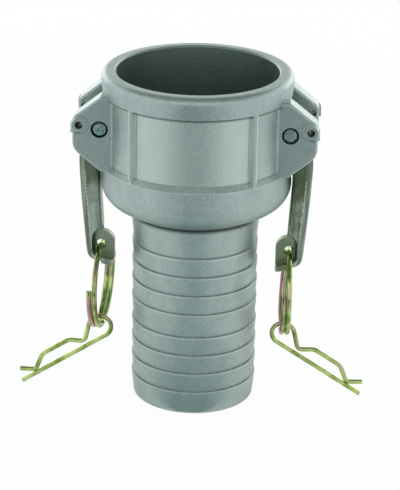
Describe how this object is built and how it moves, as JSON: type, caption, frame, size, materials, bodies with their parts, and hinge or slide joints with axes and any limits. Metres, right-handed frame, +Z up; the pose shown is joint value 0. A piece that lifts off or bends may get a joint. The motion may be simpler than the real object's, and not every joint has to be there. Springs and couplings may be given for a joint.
{
  "type": "cam and groove hose coupler",
  "caption": "Cam and groove coupler: socket head with gasket and swinging cam levers on pins, split rings with hairpin safety clips, and a barbed hose shank below.",
  "frame": {"origin": "middle of the hose shank's end face, on the axis of the waterway", "axes": "+Z runs up the waterway from the hose end to the socket's mouth; the cam levers lie on the X axis and their pins are parallel to Y"},
  "size_m": [0.142, 0.0764, 0.1387],
  "materials": {
    "cast_body": "tumbled bare casting, matt",
    "cast_lever": "matt investment casting",
    "pin_steel": "cut and pressed ends",
    "zinc_wire": "yellow zinc plated wire",
    "gasket_rubber": "moulded black rubber"
  },
  "bodies": {
    "coupler": {"body": "cast_body", "gasket": "gasket_rubber", "pivot_pin_right": "pin_steel", "pivot_pin_left": "pin_steel"},
    "arm_right": {"cam_arm_right": "cast_lever"},
    "arm_left": {"cam_arm_left": "cast_lever"},
    "ring_right": {"pull_ring_right": "zinc_wire"},
    "ring_left": {"pull_ring_left": "zinc_wire"},
    "clip_right": {"safety_clip_right": "zinc_wire"},
    "clip_left": {"safety_clip_left": "zinc_wire"}
  },
  "joints": [
    {"name": "arm_right_swing", "type": "hinge", "parent": "coupler", "child": "arm_right", "pos_m": [0.0375, 0, 0.1177], "axis": [0, -1, 0], "range_deg": [0, 105]},
    {"name": "arm_left_swing", "type": "hinge", "parent": "coupler", "child": "arm_left", "pos_m": [-0.0375, 0, 0.1177], "axis": [0, 1, 0], "range_deg": [0, 105]},
    {"name": "ring_right_swing", "type": "hinge", "parent": "arm_right", "child": "ring_right", "pos_m": [0.0381, 0, 0.06325], "axis": [0, -1, 0], "range_deg": [-5, 90]},
    {"name": "ring_left_swing", "type": "hinge", "parent": "arm_left", "child": "ring_left", "pos_m": [-0.0381, 0, 0.06325], "axis": [0, 1, 0], "range_deg": [-5, 90]},
    {"name": "clip_right_swing", "type": "hinge", "parent": "ring_right", "child": "clip_right", "pos_m": [0.03676, 0, 0.02668], "axis": [0, -1, 0], "range_deg": [-59, 60]},
    {"name": "clip_left_swing", "type": "hinge", "parent": "ring_left", "child": "clip_left", "pos_m": [-0.03874, 0, 0.02666], "axis": [0, 1, 0], "range_deg": [-59, 60]}
  ]
}
